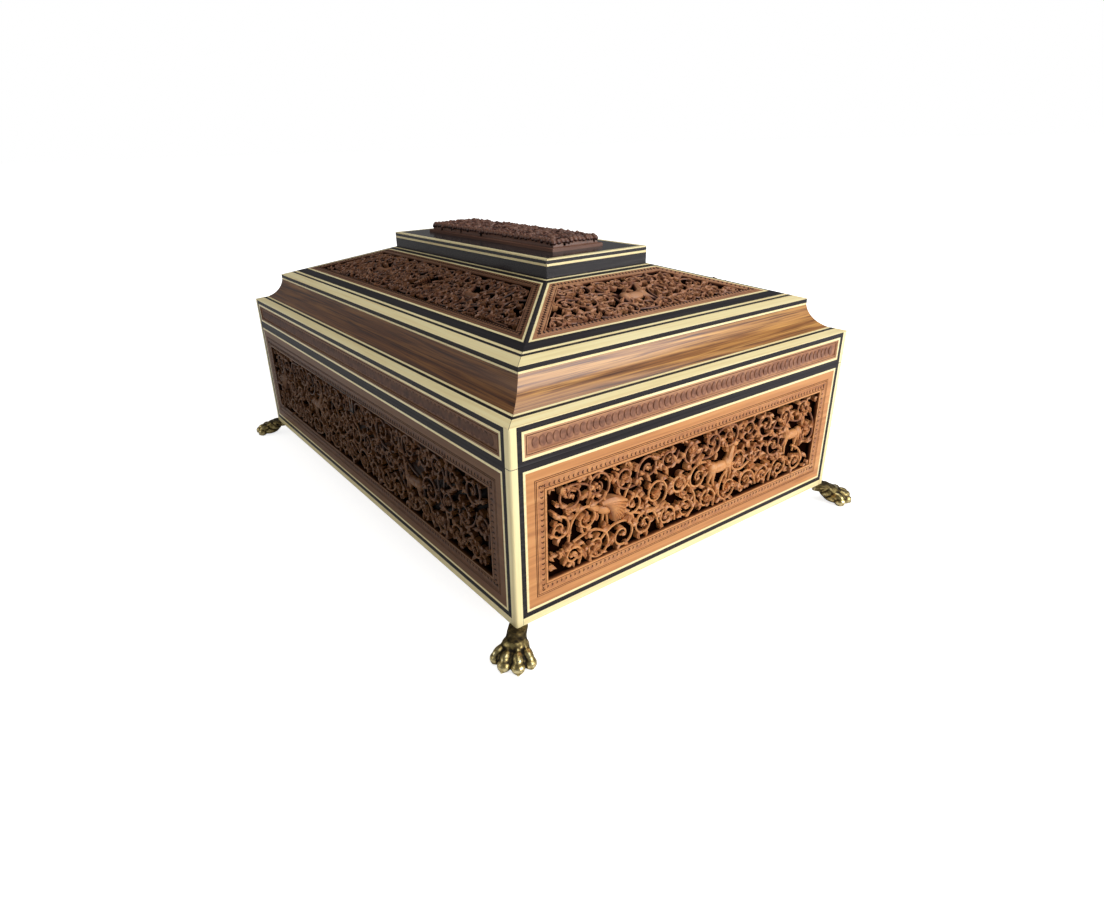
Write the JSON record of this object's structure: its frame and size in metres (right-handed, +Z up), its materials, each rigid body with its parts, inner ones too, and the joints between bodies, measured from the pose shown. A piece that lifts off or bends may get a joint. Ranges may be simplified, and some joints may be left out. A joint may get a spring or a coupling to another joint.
{
  "type": "carved dressing box",
  "caption": "Footed dressing box with a hinged sarcophagus lid, carved wooden panels between bone and ebony lines, a lift-out tray and a mirror in the lid.",
  "frame": {"origin": "on the floor under the centre of the box", "axes": "+X along the long front to the right, +Y from the front with the keyhole to the hinged back, +Z up"},
  "size_m": [0.3288, 0.2368, 0.1456],
  "materials": {
    "aged_brass": "cast brass, aged olive brown in the hollows, bright on the ridges",
    "bone": "polished cream bone with faint grain",
    "bone_turned": "turned and polished cream bone",
    "brass": "filed brass",
    "brass_screws": "turned brass",
    "carcass_wood": "plain oiled hardwood",
    "ebony": "satin black ebony",
    "ebony_polished": "polished black ebony",
    "lock_steel": "bright iron",
    "mirror_glass": "silvered glass",
    "plaque_wood": "dark brown carved wood with a soft sheen",
    "rosewood": "french polished striped rosewood",
    "sandalwood_carved": "matt carved sandalwood, orange tan border, brown relief over a dark ground",
    "sandalwood_dark": "matt carved sandalwood, brown, with a tan border",
    "sandalwood_frieze": "matt sandalwood with gouged hollows",
    "tray_wood": "plain waxed sandalwood"
  },
  "bodies": {
    "case": {"bottom_board": "carcass_wood", "case_bone_lines": "bone", "case_bottom_edging": "bone", "case_corner_posts": "bone", "case_ebony_lines": "ebony", "case_panel_back": "sandalwood_carved", "case_panel_front": "sandalwood_carved", "case_panel_left": "sandalwood_carved", "case_panel_right": "sandalwood_carved", "case_screws": "brass_screws", "case_wall_back": "carcass_wood", "case_wall_front": "carcass_wood", "case_wall_left": "carcass_wood", "case_wall_right": "carcass_wood", "foot_back_left": "aged_brass", "foot_back_right": "aged_brass", "foot_front_left": "aged_brass", "foot_front_right": "aged_brass", "foot_screws": "brass_screws", "hinge_case_leaves": "brass", "hinge_pins": "brass", "lock_case": "brass", "tray_bearers": "carcass_wood"},
    "lid": {"hinge_lid_leaves": "brass", "lid_bone_lines": "bone", "lid_corner_posts": "bone", "lid_coves": "rosewood", "lid_ebony_lines": "ebony", "lid_edge_moulding": "bone", "lid_frieze_back": "sandalwood_frieze", "lid_frieze_front": "sandalwood_frieze", "lid_frieze_left": "sandalwood_frieze", "lid_frieze_right": "sandalwood_frieze", "lid_mirror": "mirror_glass", "lid_rails": "carcass_wood", "lid_screws": "brass_screws", "lock_link_plate": "brass", "mirror_back_board": "carcass_wood", "mirror_frame": "ebony_polished", "plaque": "plaque_wood", "plinth": "ebony_polished", "plinth_bone_lines": "bone", "shoulder_band": "bone", "slope_boards": "carcass_wood", "slope_panel_back": "sandalwood_dark", "slope_panel_front": "sandalwood_dark", "slope_panel_left": "sandalwood_dark", "slope_panel_right": "sandalwood_dark", "top_bone_lines": "bone", "top_ebony_lines": "ebony"},
    "tray": {"tray_bottom": "tray_wood", "tray_sides": "tray_wood", "tray_dividers": "tray_wood", "tray_cover_ledges": "tray_wood", "tray_lift_knobs": "bone_turned"},
    "left_cover": {"tray_cover_left": "tray_wood", "tray_cover_knob_left": "bone_turned"},
    "right_cover": {"tray_cover_right": "tray_wood", "tray_cover_knob_right": "bone_turned"},
    "bolt": {"lock_bolt": "lock_steel"}
  },
  "joints": [
    {"name": "lid_hinge", "type": "hinge", "parent": "case", "child": "lid", "pos_m": [0, 0.106, 0.08], "axis": [-1, 0, 0], "range_deg": [0, 100]},
    {"name": "tray_lift", "type": "slide", "parent": "case", "child": "tray", "axis": [0, 0, 1], "range_m": [0, 0.01]},
    {"name": "left_cover_lift", "type": "slide", "parent": "tray", "child": "left_cover", "axis": [0, 0, 1], "range_m": [0, 0.005]},
    {"name": "right_cover_lift", "type": "slide", "parent": "tray", "child": "right_cover", "axis": [0, 0, 1], "range_m": [0, 0.005]},
    {"name": "bolt_slide", "type": "slide", "parent": "case", "child": "bolt", "axis": [1, 0, 0], "range_m": [0, 0.0025]}
  ]
}
